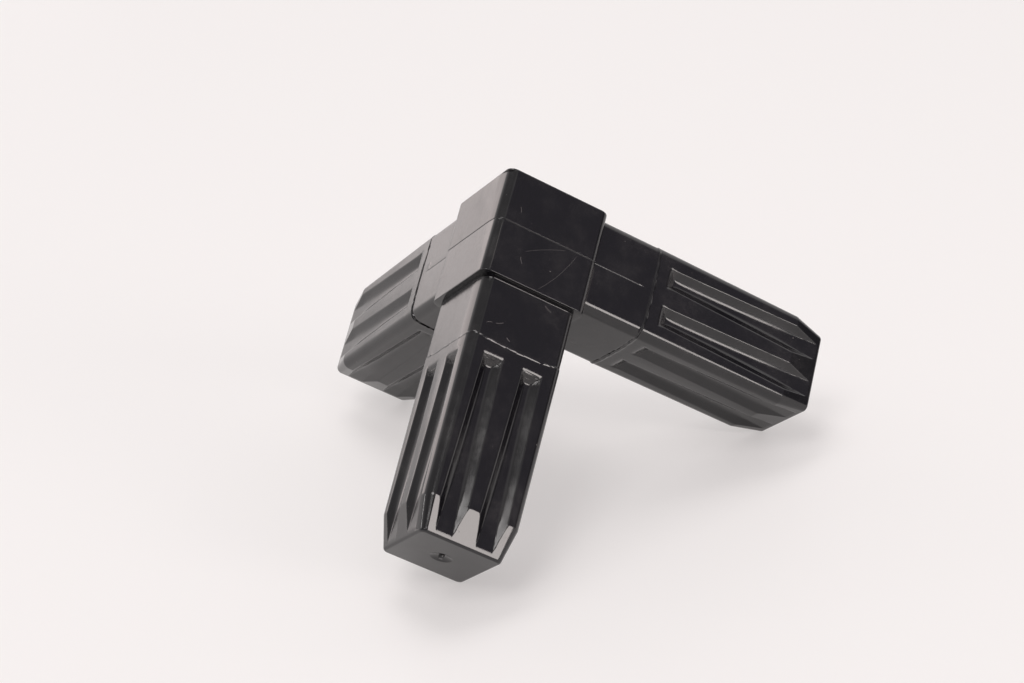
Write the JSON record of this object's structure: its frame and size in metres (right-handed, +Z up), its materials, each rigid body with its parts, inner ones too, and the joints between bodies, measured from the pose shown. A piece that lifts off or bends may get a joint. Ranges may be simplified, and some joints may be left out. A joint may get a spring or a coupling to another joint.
{
  "type": "three way corner connector",
  "caption": "Moulded black corner connector with a square body and fluted square plug arms at right angles, which push into square tube.",
  "frame": {"origin": "on the floor plane under the three arm tips, straight below the point where the three arm centre lines meet", "axes": "+Z up, equally inclined to the three arms; the front arm lies towards -Y, the other two towards +X and -X, slightly back"},
  "size_m": [0.114, 0.1057, 0.0722],
  "materials": {
    "moulded_nylon": "gloss black moulded nylon with fine scuffs"
  },
  "bodies": {
    "root": {"corner_connector": "moulded_nylon"}
  },
  "joints": []
}
